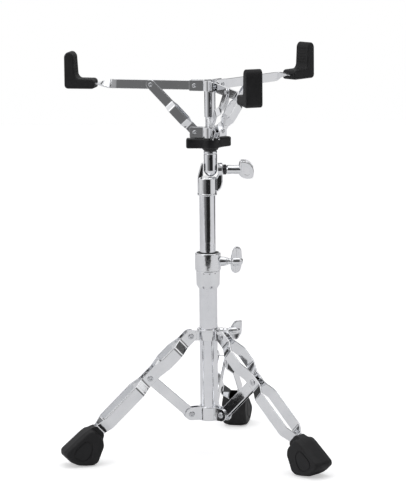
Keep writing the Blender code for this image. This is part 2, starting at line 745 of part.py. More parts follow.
def main():
    for thing in list(bpy.data.objects):
        bpy.data.objects.remove(thing)
    chrome = material("chrome", (0.86, 0.87, 0.89), 1.0, 0.06)
    rubber = material("rubber", (0.022, 0.022, 0.024), 0.0, 0.6)
    nylon = material("nylon", (0.024, 0.024, 0.026), 0.0, 0.42)

    root = make_empty("stand")
    make_column(root, chrome, nylon)
    make_leg_hubs(root, chrome)
    for side in LEG_AZIMUTHS:
        make_leg(side, root, chrome, rubber)
    slide = make_upper_tube(root, chrome)
    make_basket(slide, chrome, nylon, rubber)

    x, y = footprint_centre()
    root.location = (-x, -y, 0)
    bpy.context.view_layer.update()


main()
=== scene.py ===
"""The look of a chrome-plated folding stand for a snare drum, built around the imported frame.

Shapes are made in millimetres, with heights from the floor and the origin on the column's axis.
Pivots, and the main radii and heights, come from the frame's joints and boxes. The sections of
bars, rivets, castings and feet are set here to suit the CAD. Each piece rides on its body.
"""

import json
import math

import bmesh
import bpy
from mathutils import Matrix, Vector
from mathutils.geometry import tessellate_polygon


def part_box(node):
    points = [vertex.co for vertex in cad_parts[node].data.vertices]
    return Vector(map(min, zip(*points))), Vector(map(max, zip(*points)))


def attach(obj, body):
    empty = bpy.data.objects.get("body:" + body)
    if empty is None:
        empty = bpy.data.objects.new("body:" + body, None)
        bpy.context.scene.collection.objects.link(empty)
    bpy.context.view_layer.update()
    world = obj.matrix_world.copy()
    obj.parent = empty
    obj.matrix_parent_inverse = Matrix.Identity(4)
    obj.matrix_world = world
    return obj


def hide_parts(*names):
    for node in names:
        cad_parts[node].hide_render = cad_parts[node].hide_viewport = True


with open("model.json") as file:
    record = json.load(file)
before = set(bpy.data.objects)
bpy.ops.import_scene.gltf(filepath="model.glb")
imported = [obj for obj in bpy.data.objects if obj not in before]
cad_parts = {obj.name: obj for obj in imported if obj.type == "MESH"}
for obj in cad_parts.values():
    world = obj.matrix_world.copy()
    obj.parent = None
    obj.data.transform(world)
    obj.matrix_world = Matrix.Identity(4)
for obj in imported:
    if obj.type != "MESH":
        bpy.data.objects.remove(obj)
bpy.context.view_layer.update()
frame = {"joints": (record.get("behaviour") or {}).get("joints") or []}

MM = 0.001
JOINTS = {joint["name"]: joint for joint in frame["joints"]}
COLUMN = Vector(JOINTS["swivel"]["pos_m"][:2] + [0.0])
GAP = 0.3
ROUND = 96  # sides of a large turned piece
SMALL = 40  # sides of a small turned piece


def pivot(joint):
    """A joint's place as (distance from the column, azimuth in degrees, height)."""
    place = (Vector(JOINTS[joint]["pos_m"]) - COLUMN) / MM
    return place.xy.length, math.degrees(math.atan2(place.y, place.x)), place.z


def heights(node):
    low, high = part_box(node)
    return low.z / MM, high.z / MM


def radius(node):
    low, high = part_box(node)
    return (high.x - low.x) / MM / 2


# Column
BASE_TUBE_R = radius("base_tube")
BASE_TUBE_BORE = BASE_TUBE_R - 1.3
UPPER_TUBE_R = radius("upper_tube")
UPPER_TUBE_BORE = UPPER_TUBE_R - 1.5
CLAMP_BOTTOM, CLAMP_TOP = heights("height_clamp")
BUSH_R = radius("clamp_bush")
CLAMP_STEP = heights("clamp_bush")[0] - GAP
CLAMP_BOLT_Z = JOINTS["clamp_bolt_turn"]["pos_m"][2] / MM

# Tripod
SIDES = ("left", "right", "back")
BRACE_JOINTS = {"left": "legs_fold", "right": "brace_right_fold", "back": "brace_back_fold"}
LEG_AZIMUTHS = {side: pivot(BRACE_JOINTS[side])[1] for side in SIDES}
LEG_PIVOT_R, _, LOWER_PIVOT_Z = pivot("legs_fold")
MIDDLE_PIVOT_R, _, MIDDLE_PIVOT_Z = pivot("leg_left_fold")
UPPER_PIVOT_Z = pivot("collar_travel")[2]
LEG_RUN = MIDDLE_PIVOT_R - LEG_PIVOT_R
LEG_RISE = UPPER_PIVOT_Z - MIDDLE_PIVOT_Z
LEG_SLOPE = math.atan2(LEG_RISE, LEG_RUN)
LINK = math.hypot(LEG_RUN, LEG_RISE)
LEG_BOLT_DIRECTION = Vector(JOINTS["leg_bolt_turn"]["axis"])
LEG_BOLT_Z = JOINTS["leg_bolt_turn"]["pos_m"][2] / MM
STRIP_WIDTH = 20.0
STRIP_THICK = 2.2
STRIP_AT_COLLAR = 5.5
STRIP_AT_MIDDLE = 6.4
STRIP_AT_FOOT = 5.9
STRIP_BULGE = 15.6
BRACE_WIDTH = 16.5
BRACE_HALF = 4.9
FOOT_HALF = 20.0
LEG_RIVET_HEAD_R = 4.8

# Tilter and basket
BASKET_X = (JOINTS["tilt"]["pos_m"][0] - COLUMN.x) / MM
TILT_Z = JOINTS["tilt"]["pos_m"][2] / MM
TILTER_R = 15.8
TILTER_Z = (heights("tilter_body")[0], 449.7)
MAST_R = radius("mast")
MAST_TOP_Z = heights("mast")[1]
SET_SCREW_Z = 479.0
ROD_R = 7.75
ROD_SLEEVE_R = 8.75
ROD_SLEEVE_Z = 544.3
ROD_Z = heights("basket_rod")
KNOB_Z = heights("basket_knob")
UPPER_HUB_Z = heights("upper_hub")
LOWER_HUB_Z = heights("lower_hub")
ARM_SIDES = ("left", "right", "front")
BASKET = Vector((BASKET_X, 0.0, 0.0))


def basket_pivot(joint):
    place = (Vector(JOINTS[joint]["pos_m"]) - COLUMN) / MM - BASKET
    return place.xy.length, math.degrees(math.atan2(place.y, place.x)), place.z


ARM_AZIMUTHS = {side: basket_pivot(f"arm_{side}_fold")[1] for side in ARM_SIDES}
HUB_PIVOT_R, _, ARM_PIVOT_Z = basket_pivot("arm_left_fold")
STRUT_PIVOT_Z = basket_pivot("strut_left_fold")[2]
ARM_TO_STRUT = 71.7
ARM_WIDTH = 14.7
ARM_THICK = 3.0
ARM_TWIST_R = (147.5, 186.0)
ARM_END_R = 228.0
STRUT_THICK = 1.7
STRUT_NARROW = 2.75
STRUT_BULGE = 8.4
HUB_RIVET_HEAD_R = 3.4
GRIP_HALF = 13.3

UPRIGHT = Matrix.Rotation(math.pi / 2, 4, "X")  # local XY stands up as the XZ plane
WING_TILT = 14.0
BOLT_PLATE = Matrix(((0, 0, 1, 0), (1, 0, 0, 0), (0, 1, 0, 0), (0, 0, 0, 1)))  # XY becomes YZ


# ---------------------------------------------------------------- shapes as (points, faces)


def eased(points, reach, closed=True, steps=4):
    """Points joined by straight lines, with each corner rounded as far as its sides allow."""
    path = [Vector(point) for point in points]
    smooth = []
    for i, here in enumerate(path):
        if not closed and i in (0, len(path) - 1):
            smooth.append(here)
            continue
        before = path[i - 1] - here
        after = path[(i + 1) % len(path)] - here
        if before.xy.length < 1e-6 or after.xy.length < 1e-6 or before.xy.angle(after.xy) > math.radians(172):
            smooth.append(here)
            continue
        start = here + before * min(0.48, reach / before.length)
        end = here + after * min(0.48, reach / after.length)
        for k in range(steps + 1):
            t = k / steps
            smooth.append(start * (1 - t) ** 2 + here * (2 * t * (1 - t)) + end * t * t)
    return smooth


def lathe(profile, sides=ROUND, reach=0.35, closed=False):
    """A profile of (radius, height) turned about Z, with its corners rounded."""
    points, rings = [], []
    for r, height in eased(profile, reach, closed):
        count = 1 if r < 1e-6 else sides
        rings.append([len(points) + i for i in range(count)])
        for i in range(count):
            turn = 2 * math.pi * i / sides
            points.append((r * math.cos(turn), r * math.sin(turn), height))
    pairs = list(zip(rings, rings[1:]))
    if len(rings[0]) > 1:
        pairs.append((rings[-1], rings[0]))
    faces = []
    for low, high in pairs:
        for i in range(sides):
            corners = [low[i % len(low)], low[(i + 1) % len(low)]]
            corners += [high[(i + 1) % len(high)], high[i % len(high)]]
            face = list(dict.fromkeys(corners))
            if len(face) > 2:
                faces.append(face)
    return points, faces


def loft(sections):
    """A solid through a list of equal outlines.
    Both ends are filled with the triangles that fill its middle one."""
    points = [tuple(p) for section in sections for p in section]
    size = len(sections[0])
    middle = sections[len(sections) // 2]
    fill = tessellate_polygon([[Vector(p) for p in middle]])
    faces = [[end + i for i in corners] for end in (0, len(points) - size) for corners in fill]
    for start in range(0, len(points) - size, size):
        for i in range(size):
            j = (i + 1) % size
            faces.append([start + i, start + j, start + size + j, start + size + i])
    return points, faces


def prism(outline, low, high):
    return loft([[(p[0], p[1], z) for p in outline] for z in (low, high)])


def slab(outline, low, high, reach, edge, crown=0.0):
    """A prism with rounded corners and a rounded rim: its outline shrinks towards both faces.
    A crown above zero widens the rounding over the faces, and one below zero narrows it."""
    sections = []
    steps = 6
    for face, sign in ((low, 1), (high, -1)):
        part = []
        for i in range(steps + 1):
            angle = math.pi / 2 * i / steps
            inset = (edge + crown) * (1 - math.sin(angle))
            z = face + sign * edge * (1 - math.cos(angle))
            part.append([(x, y, z) for x, y in shrunk(eased(outline, reach), inset)])
        sections += part if sign > 0 else part[::-1]
    return loft(sections)


def shrunk(outline, inset):
    """An outline moved inwards by a small inset."""
    count = len(outline)
    points = [Vector(p[:2]) for p in outline]
    sides = [(points[i], points[(i + 1) % count]) for i in range(count)]
    area = sum(a.x * b.y - b.x * a.y for a, b in sides)
    sign = 1 if area > 0 else -1
    inner = []
    for i, here in enumerate(points):
        step = points[(i + 1) % count] - points[i - 1]
        normal = Vector((-step.y, step.x)).normalized() * sign
        inner.append(here + normal * inset)
    return inner


def drawn_in(outline, centre, inset):
    """An outline drawn towards a centre."""
    return [centre + (Vector(p) - centre) * (1 - inset / (Vector(p) - centre).length) for p in outline]


def moved(shape, matrix):
    points, faces = shape
    return [tuple(matrix @ Vector(p)) for p in points], faces


def joined(*shapes):
    points, faces = [], []
    for shape_points, shape_faces in shapes:
        faces += [[len(points) + i for i in face] for face in shape_faces]
        points += shape_points
    return points, faces


def shift(x=0.0, y=0.0, z=0.0):
    return Matrix.Translation((x, y, z))


def turn_z(degrees):
    return Matrix.Rotation(math.radians(degrees), 4, "Z")


def along(direction, origin=(0, 0, 0)):
    """The matrix that carries Z onto a direction at an origin."""
    return shift(*origin) @ Vector(direction).to_track_quat("Z", "Y").to_matrix().to_4x4()


def crosswise(r, z):
    """The matrix that carries Z onto the tangent at a point of a radial plane."""
    return shift(r, 0, z) @ Matrix.Rotation(-math.pi / 2, 4, "X")


def rounded_rectangle(half_x, half_y, corner, steps=3):
    outline = []
    for x, y, start in ((1, -1, -90), (1, 1, 0), (-1, 1, 90), (-1, -1, 180)):
        for i in range(steps + 1):
            angle = math.radians(start + 90 * i / steps)
            across = x * (half_x - corner) + corner * math.cos(angle)
            up = y * (half_y - corner) + corner * math.sin(angle)
            outline.append((across, up))
    return outline


def bar(stations, thick, bend, edge=0.8):
    """A flat bar with rounded edges, bent in its XY plane through (x, y, half width) stations."""
    stations = eased(stations, bend, closed=False, steps=5)
    path = [station.xy for station in stations]
    sections = []
    for i, station in enumerate(stations):
        before = (path[i] - path[max(i - 1, 0)]).normalized()
        after = (path[min(i + 1, len(path) - 1)] - path[i]).normalized()
        across = (before + after).normalized()
        cosine = across.dot(after if after.length else before)
        side = Vector((-across.y, across.x)) / cosine
        ring = rounded_rectangle(thick / 2, station.z, min(edge, station.z * 0.9, thick * 0.45))
        sections.append([(*(path[i] + side * u), v) for u, v in ring])
    return loft(sections)


def rounded_end(centre, reach, sign, steps=9):
    """(position, half width) pairs that round a bar's end about a pivot."""
    pairs = []
    for i in range(steps):
        angle = math.radians(6 + 84 * i / steps)
        pairs.append((centre + sign * reach * math.cos(angle), reach * math.sin(angle)))
    return pairs if sign < 0 else pairs[::-1]


def stadium(length, reach, steps=24):
    outline = []
    for centre, start in ((length, -90), (0.0, 90)):
        for i in range(steps + 1):
            angle = math.radians(start + 180 * i / steps)
            outline.append((centre + reach * math.cos(angle), reach * math.sin(angle)))
    return outline


def ear_outline(inner, pivot_r, pivot_z, low, high, reach, steps=16):
    outline = [(inner, high), (inner, low)]
    for i in range(steps + 1):
        angle = math.radians(-90 + 180 * i / steps)
        outline.append((pivot_r + reach * math.cos(angle), pivot_z + reach * math.sin(angle)))
    return outline


def rivet_head(head, grip, height, sign=1):
    """Half of a semi-tubular rivet: a low dome with a rolled rim and a hollow middle."""
    hollow = head * 0.36
    side = [(0.0, grip - 0.4), (head * 0.98, grip)]
    side += [(head, grip + height * 0.3), (head * 0.82, grip + height * 0.85)]
    side += [(head * 0.62, grip + height), (hollow * 1.25, grip + height * 0.95)]
    side += [(hollow, grip + height * 0.7)]
    side += [(hollow * 0.92, grip + 0.12), (0.0, grip + 0.12)]
    return lathe([(r, sign * z) for r, z in side], SMALL, reach=0.3)


def rivet(head, grip, height, shank):
    """Both heads of a rivet and the shank between them."""
    core = lathe([(0.0, -grip), (shank, -grip), (shank, grip), (0.0, grip)], SMALL, reach=0.01)
    return joined(rivet_head(head, grip, height), rivet_head(head, grip, height, -1), core)


# ---------------------------------------------------------------- pieces


def mesh_of(name, shape):
    points, faces = shape
    mesh = bpy.data.meshes.new(name)
    mesh.from_pydata([Vector(p) * MM + COLUMN for p in points], [], faces)
    work = bmesh.new()
    work.from_mesh(mesh)
    bmesh.ops.remove_doubles(work, verts=work.verts, dist=1e-7)
    bmesh.ops.recalc_face_normals(work, faces=work.faces)
    work.to_mesh(mesh)
    work.free()
    return mesh


def linked(name, mesh):
    made = bpy.data.objects.new(name, mesh)
    bpy.context.scene.collection.objects.link(made)
    return made


def finish_mesh(obj, sharp=38):
    obj.data.shade_smooth()
    obj.data.set_sharp_from_angle(angle=math.radians(sharp))
    weighted = obj.modifiers.new("Even shading", "WEIGHTED_NORMAL")
    weighted.keep_sharp = True


def piece(name, shape, material, body, replaces=(), add=(), cut=()):
    """A finished piece: its shape with others joined to it and cut from it, riding on a body."""
    made = linked(name, mesh_of(name, shape))
    helpers = []
    for operation, shapes in (("UNION", add), ("DIFFERENCE", cut)):
        for other in shapes:
            helper = linked("helper", mesh_of("helper", other))
            helpers.append(helper)
            modifier = made.modifiers.new(operation, "BOOLEAN")
            modifier.operation = operation
            modifier.solver = "MANIFOLD"
            modifier.object = helper
    if helpers:
        graph = bpy.context.evaluated_depsgraph_get()
        mesh = bpy.data.meshes.new_from_object(made.evaluated_get(graph))
        made.modifiers.clear()
        made.data = mesh
        for helper in helpers:
            bpy.data.objects.remove(helper)
    made.data.name = name
    made.data.materials.clear()
    made.data.materials.append(material)
    finish_mesh(made)
    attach(made, body)
    if replaces:
        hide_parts(*replaces)
    return made


# ---------------------------------------------------------------- materials


class Graph:
    """A short way to write a material's nodes."""

    def __init__(self, name):
        self.material = bpy.data.materials.new(name)
        self.material.use_nodes = True
        self.tree = self.material.node_tree
        self.shader = self.tree.nodes["Principled BSDF"]
        self.place = self.add("ShaderNodeTexCoord").outputs["Object"]

    def add(self, kind, **values):
        node = self.tree.nodes.new(kind)
        for key, value in values.items():
            if key in node.inputs:
                node.inputs[key].default_value = value
            else:
                setattr(node, key, value)
        return node

    def link(self, source, target):
        self.tree.links.new(source, target)

    def stretched(self, scale):
        node = self.add("ShaderNodeMapping")
        node.inputs["Scale"].default_value = scale
        self.link(self.place, node.inputs["Vector"])
        return node.outputs["Vector"]

    def noise(self, vector, scale, detail=3.0, rough=0.5):
        node = self.add("ShaderNodeTexNoise", Scale=scale, Detail=detail, Roughness=rough)
        self.link(vector, node.inputs["Vector"])
        return node.outputs["Fac"]

    def mapped(self, value, low, high, start=0.3, end=0.7):
        node = self.add("ShaderNodeMapRange")
        for key, number in (("From Min", start), ("From Max", end), ("To Min", low), ("To Max", high)):
            node.inputs[key].default_value = number
        self.link(value, node.inputs["Value"])
        return node.outputs["Result"]

    def mixed(self, factor, first, second):
        node = self.add("ShaderNodeMix", data_type="RGBA")
        node.inputs["A"].default_value = (*first, 1.0)
        node.inputs["B"].default_value = (*second, 1.0)
        self.link(factor, node.inputs["Factor"])
        return node.outputs["Result"]

    def bumped(self, height, strength, distance, before=None):
        node = self.add("ShaderNodeBump", Strength=strength, Distance=distance)
        self.link(height, node.inputs["Height"])
        if before:
            self.link(before, node.inputs["Normal"])
        return node.outputs["Normal"]


def chrome_material(name, tint, dull, base_roughness):
    """Plated steel: faint waves in the polish, fine wiping marks, and a slightly duller haze."""
    g = Graph(name)
    g.shader.inputs["Metallic"].default_value = 1.0
    haze = g.noise(g.place, 38.0, 4.0, 0.6)
    g.link(g.mixed(g.mapped(haze, 0.0, 1.0), dull, tint), g.shader.inputs["Base Color"])
    wiping = g.noise(g.stretched((1.0, 1.0, 0.08)), 900.0, 2.0)
    marks = g.noise(g.stretched((0.1, 1.0, 1.0)), 1400.0, 2.0)
    blend = g.add("ShaderNodeMath", operation="MULTIPLY")
    g.link(wiping, blend.inputs[0])
    g.link(marks, blend.inputs[1])
    g.link(
        g.mapped(blend.outputs["Value"], base_roughness, base_roughness + 0.09, 0.15, 0.55),
        g.shader.inputs["Roughness"],
    )
    waves = g.noise(g.place, 95.0, 1.0)
    first = g.bumped(waves, 0.05, 0.0012)
    g.link(g.bumped(wiping, 0.02, 0.00004, first), g.shader.inputs["Normal"])
    return g.material


def black_material(name, dark, worn, roughness, grain_scale, grain_depth):
    """Moulded black rubber or nylon: fine grain, cloudy sheen and lighter scuffs."""
    g = Graph(name)
    cloud = g.noise(g.place, 55.0, 5.0, 0.6)
    g.link(g.mixed(g.mapped(cloud, 0.0, 1.0, 0.35, 0.8), dark, worn), g.shader.inputs["Base Color"])
    grain = g.noise(g.place, grain_scale, 3.0, 0.65)
    g.shader.inputs["Specular IOR Level"].default_value = 0.35
    mixed = g.add("ShaderNodeMath", operation="MULTIPLY_ADD")
    mixed.inputs[1].default_value = 0.5
    g.link(grain, mixed.inputs[0])
    g.link(cloud, mixed.inputs[2])
    g.link(
        g.mapped(mixed.outputs["Value"], roughness - 0.07, roughness + 0.09, 0.45, 1.05),
        g.shader.inputs["Roughness"],
    )
    scuffs = g.noise(g.stretched((1.0, 0.25, 1.0)), 320.0, 2.0)
    first = g.bumped(grain, 0.35, grain_depth)
    g.link(g.bumped(scuffs, 0.12, grain_depth, first), g.shader.inputs["Normal"])
    return g.material


CHROME = chrome_material("chrome plate", (0.88, 0.885, 0.9), (0.8, 0.81, 0.83), 0.035)
TUBE_CHROME = chrome_material("polished tube chrome", (0.87, 0.875, 0.9), (0.79, 0.8, 0.825), 0.03)
RIVET_STEEL = chrome_material("plated rivet steel", (0.74, 0.75, 0.77), (0.6, 0.61, 0.63), 0.12)
DARK_STEEL = chrome_material("blackened steel", (0.12, 0.12, 0.125), (0.07, 0.07, 0.075), 0.24)
RUBBER = black_material(
    "moulded rubber", (0.0095, 0.0095, 0.0105), (0.019, 0.019, 0.0205), 0.58, 1500.0, 0.00012
)
NYLON = black_material("moulded nylon", (0.009, 0.009, 0.0102), (0.017, 0.017, 0.0187), 0.42, 2200.0, 0.00005)


# ---------------------------------------------------------------- column


def wing_shape(outline, half, reach, edge, crown):
    """A wing of (along the bolt, above the bolt), set in a bolt's own frame."""
    plate = slab([(height, reach_out) for reach_out, height in outline], -half, half, reach, edge, crown)
    return moved(plate, turn_z(WING_TILT) @ BOLT_PLATE)


def ring_of(shape, azimuths):
    return [moved(shape, turn_z(azimuth)) for azimuth in azimuths]


def build_column():
    low, high = heights("base_tube")
    wall = [(BASE_TUBE_BORE, low), (BASE_TUBE_R, low), (BASE_TUBE_R, high), (BASE_TUBE_BORE, high)]
    piece("base_tube_plated", lathe(wall, closed=True), TUBE_CHROME, "base", ["base_tube"])

    low, high = heights("upper_tube")
    wall = [(UPPER_TUBE_BORE, low), (UPPER_TUBE_R, low), (UPPER_TUBE_R, high), (UPPER_TUBE_BORE, high)]
    piece("upper_tube_plated", lathe(wall, closed=True), TUBE_CHROME, "upper", ["upper_tube"])

    bore, seat = BASE_TUBE_R + GAP, BUSH_R + GAP
    skirt, body = 18.5, 20.5
    profile = [(bore, CLAMP_BOTTOM), (15.8, CLAMP_BOTTOM)]
    profile += [(16.6, CLAMP_BOTTOM + 1.4), (skirt, CLAMP_BOTTOM + 5)]
    profile += [(skirt + 0.4, CLAMP_STEP - 1.2), (skirt - 0.2, CLAMP_STEP - 0.9)]
    profile += [(skirt - 0.2, CLAMP_STEP - 0.1)]
    profile += [(body, CLAMP_STEP), (body, CLAMP_TOP - 1), (body - 1, CLAMP_TOP), (seat, CLAMP_TOP)]
    profile += [(seat, CLAMP_STEP), (bore, CLAMP_STEP)]
    bolt_axis = along((1, 0, 0), (0, 0, CLAMP_BOLT_Z))
    boss = lathe([(0, 19), (7.9, 19), (7.6, 24), (7.2, 27), (6.6, 30), (0, 30)], SMALL, 0.8)
    hole = lathe([(0, 16), (3.4, 16), (3.4, 32), (0, 32)], SMALL, 0.01)
    pins = []
    for azimuth in (250, 278, 306, 70, 98, 126):
        axis = along(turn_z(azimuth) @ Vector((1, 0, 0)), (0, 0, CLAMP_STEP - 3.8))
        pins.append(moved(lathe([(0, 17.6), (1.15, 17.6), (1.15, 21), (0, 21)], 24, 0.01), axis))
    slit = prism([(-24, -0.7), (-16, -0.7), (-16, 0.7), (-24, 0.7)], CLAMP_STEP + 2, CLAMP_TOP - 2)
    piece(
        "height_clamp_cast",
        lathe(profile, reach=0.7, closed=True),
        CHROME,
        "base",
        ["height_clamp"],
        add=[moved(boss, bolt_axis)],
        cut=[moved(hole, bolt_axis), *pins, slit],
    )

    bore, flange = UPPER_TUBE_R + GAP, BUSH_R
    low, high = heights("clamp_bush")
    lip = [(bore, low), (flange, low), (flange, high - 3), (bore + 1.5, high), (bore, high)]
    ring = lathe(lip, reach=0.5, closed=True)
    piece("clamp_bush_moulded", ring, NYLON, "bush", ["clamp_bush"])

    stem = [(0, BUSH_R + 0.9), (3, BUSH_R + 0.9), (3, 30.3), (6, 30.3)]
    stem += [(6, 31.2), (4.6, 35), (5.2, 37), (7.4, 39.5)]
    stem += [(7.4, 50), (5, 54.5), (2.4, 55.5), (0, 55.6)]
    wings = [(36, 5), (39, 19), (43, 25.5), (48, 26), (52.5, 22), (54, 12), (54, -4)]
    wings += [(51.5, -16), (46, -20.5), (40, -19.5), (36.5, -15), (35.5, -4)]
    piece(
        "clamp_wing_bolt_cast",
        moved(lathe(stem, SMALL, 1.6), bolt_axis),
        CHROME,
        "clamp_bolt",
        ["clamp_wing_bolt"],
        add=[moved(wing_shape(wings, 2.4, 4.0, 1.9, 0.9), bolt_axis)],
    )


def build_tilter():
    bottom, top = TILTER_Z
    high = heights("upper_tube")[1]
    r, socket = TILTER_R, UPPER_TUBE_R + GAP
    profile = [(0, bottom), (r - 0.8, bottom), (r, bottom + 0.9), (r, bottom + 2.6), (r - 0.6, bottom + 3.2)]
    profile += [(r - 0.6, top - 2.6), (r - 2.4, top), (0, top)]
    socket_outline = [(0, bottom - 4), (socket, bottom - 4), (socket, high + GAP), (0, high + GAP)]
    socket_cut = lathe(socket_outline, ROUND, 0.01)
    axis = along((1, 0, 0), (0, 0, TILT_Z))
    inner = BASKET_X - MAST_R - 0.7
    cheek = [(-14.8, 446), (-14.8, 450), (inner - 3.2, 471), (inner, 472)]
    cheek += [(inner, 452), (-9, 448.6), (-9, 446)]
    inner = BASKET_X + MAST_R + 0.7
    lug = [(14, 426), (18, 427), (22.6, 432), (24.6, 440), (24.6, 466), (22, 471), (inner, 471)]
    lug += [(inner, 452), (14.4, 448.6), (14, 446)]
    boss = lathe([(0, inner), (11, inner), (11, 23.4), (10, 24.6), (0, 24.6)], SMALL, 0.6)
    hole = lathe([(0, 15), (3.5, 15), (3.5, 26), (0, 26)], SMALL, 0.01)
    piece(
        "tilter_body_cast",
        lathe(profile, reach=0.5),
        CHROME,
        "upper",
        ["tilter_body"],
        add=[
            moved(slab(cheek, -7.5, 7.5, 2.0, 2.6, -1.4), UPRIGHT),
            moved(slab(lug, -7.5, 7.5, 3.0, 3.4, -1.4), UPRIGHT),
            moved(boss, axis),
        ],
        cut=[socket_cut, moved(hole, axis)],
    )

    # the handle: a serrated nut against the lug, a tapered shank and a ribbed grip
    teeth = []
    for i in range(72):
        reach = 8.0 if i % 3 else 7.3
        angle = 2 * math.pi * i / 72
        teeth.append((reach * math.cos(angle), reach * math.sin(angle)))
    nut = slab(teeth, 25.2, 30.2, 0.1, 0.5)
    piece("tilter_nut_serrated", moved(nut, axis), DARK_STEEL, "tilter_screw")
    stem = [(0, 18), (3, 18), (3, 24.9), (6.4, 24.9), (6.4, 30.6)]
    stem += [(7.5, 32.4), (6.9, 40), (7.2, 49), (7.2, 53), (0, 53)]
    head = [(50, 8), (52, 14.5), (54, 15.6), (61, 15.6), (67, 13), (72, 6), (74, -3), (73.4, -11)]
    head += [(70, -14.6), (60, -14.2), (55, -12), (50, -8)]
    handle = wing_shape(head, 6.4, 3.0, 2.8, -0.8)
    above = [(56.0, 15.9), (58.4, 15.9), (60.8, 15.8)]
    below = [(56.5, -14.2), (59.5, -15.2), (62.5, -15.4)]
    grooves = []
    for reach_out, height in above + below:
        groove = lathe([(0, -8), (1.05, -8), (1.05, 8), (0, 8)], 16, 0.01)
        grooves.append(moved(moved(groove, shift(height, reach_out, 0)), turn_z(WING_TILT) @ BOLT_PLATE))
    hollow = wing_shape([(57, 7), (63, 8), (67, 3), (68, -5), (65, -9), (58, -7)], 1.2, 3.0, 0.5, 0.4)
    hollows = []
    for side in (-6.8, 6.8):
        hollows.append(moved(hollow, turn_z(WING_TILT) @ shift(side) @ turn_z(-WING_TILT)))
    piece(
        "tilter_handle_cast",
        moved(lathe(stem, SMALL, 1.0), axis),
        CHROME,
        "tilter_screw",
        ["tilter_bolt"],
        add=[moved(handle, axis)],
        cut=[moved(shape, axis) for shape in hollows + grooves],
    )


# ---------------------------------------------------------------- tripod


def build_leg_hubs():
    azimuths = LEG_AZIMUTHS.values()
    r = BASE_TUBE_R + GAP
    ring = [(r, 57.6), (r + 2.6, 57.6), (r + 3, 59), (r + 3, 79)]
    ring += [(r + 2.4, 80), (r + 1.2, 80), (r + 0.6, 79), (r, 79)]
    ear = ear_outline(r + 0.5, LEG_PIVOT_R, LOWER_PIVOT_Z, 58.8, 79.8, 10.2)
    plates = [moved(slab(ear, low, high, 1.0, 0.45), UPRIGHT) for low, high in ((5.2, 7.5), (-7.5, -5.2))]
    bore = lathe([(0, 50), (r, 50), (r, 90), (0, 90)], ROUND, 0.01)
    piece(
        "lower_collar_cast",
        lathe(ring, reach=0.5, closed=True),
        CHROME,
        "base",
        ["lower_collar"],
        add=[joined(*ring_of(plate, azimuths)) for plate in plates],
        cut=[bore],
    )

    r = BASE_TUBE_R + 0.5
    ring = [(r, 187.3), (r + 2.2, 187.3), (r + 2.8, 189), (r + 2.8, 202.6)]
    ring += [(r + 3.8, 203.6), (r + 3.8, 206), (r, 206)]
    lug = ear_outline(r + 0.5, LEG_PIVOT_R, UPPER_PIVOT_Z, 187.6, 203.8, 8.0)
    lugs = joined(*ring_of(moved(slab(lug, -4.1, 4.1, 1.0, 0.9), UPRIGHT), azimuths))
    axis = along(LEG_BOLT_DIRECTION, (0, 0, LEG_BOLT_Z))
    boss = lathe([(0, 16.5), (6.5, 16.5), (6.4, 23), (5.8, 24), (0, 24)], SMALL, 0.5)
    hole = lathe([(0, 10), (3.4, 10), (3.4, 25), (0, 25)], SMALL, 0.01)
    bore = lathe([(0, 180), (r, 180), (r, 210), (0, 210)], ROUND, 0.01)
    piece(
        "leg_collar_cast",
        lathe(ring, reach=0.5, closed=True),
        CHROME,
        "collar",
        ["leg_collar"],
        add=[lugs, moved(boss, axis)],
        cut=[moved(hole, axis), bore],
    )

    stem = [(0, 15.1), (3, 15.1), (3, 24.3), (5.4, 24.3), (5.4, 29)]
    stem += [(4.2, 33), (6.4, 37), (6.4, 46), (4.6, 51), (0, 52)]
    wings = [(36, 4), (40, 13), (44, 17.5), (52, 18.2), (55, 16)]
    wings += [(55.6, -5), (50, -16), (45, -16.5), (39, -11), (36, -4)]
    piece(
        "leg_wing_bolt_cast",
        moved(lathe(stem, SMALL, 1.4), axis),
        CHROME,
        "collar_bolt",
        ["leg_wing_bolt"],
        add=[moved(wing_shape(wings, 2.2, 3.4, 1.8, 0.6), axis)],
    )


def strip_stations():
    half = STRIP_WIDTH / 2
    stations = [(s, STRIP_AT_COLLAR, width) for s, width in rounded_end(0.0, half, -1)]
    stations += [(0, STRIP_AT_COLLAR, half), (16, STRIP_AT_COLLAR, half), (33, STRIP_BULGE, half)]
    stations += [(60, STRIP_BULGE, half), (LINK - 13, STRIP_AT_MIDDLE, half)]
    stations += [(LINK + 11, STRIP_AT_MIDDLE, half)]
    stations += [(LINK + 27, STRIP_BULGE, half), (LINK + 97, STRIP_BULGE, half)]
    stations += [(LINK + 112, STRIP_AT_FOOT, half - 0.6), (LINK + 142, STRIP_AT_FOOT, half - 0.6)]
    return stations


def floor_offset(s):
    return (s * math.sin(LEG_SLOPE) - UPPER_PIVOT_Z) / math.cos(LEG_SLOPE)


def foot_outline(neck):
    outline = [(213 - neck, 9.6), (218, 14.6), (228, 16.6), (271, 18.4), (276, 14), (275.4, -2)]
    outline += [(270.5, -14.5), (263, floor_offset(263)), (254, floor_offset(254)), (245, -33.6)]
    outline += [(232, -27.6), (219.5, -21.5), (214, -14), (213 - neck, -9.6)]
    return outline


def foot_shape():
    """A rubber foot: a crowned body with soft sides and a narrow neck round the leg."""
    sections = []
    for i in range(7):
        angle = math.pi / 2 * i / 6
        inset = 1.7 + 3.4 * (1 - math.sin(angle))
        y = FOOT_HALF - 3.8 * (1 - math.cos(angle))
        sections.append((y, drawn_in(eased(foot_outline(0), 3.4), Vector((245, -6)), inset)))
    sections += [(9.5, eased(foot_outline(0), 3.4)), (8.6, eased(foot_outline(6.5), 3.4))]
    sections += [(-y, outline) for y, outline in reversed(sections)]
    return loft([[(s, y, n) for s, n in outline] for y, outline in sections])


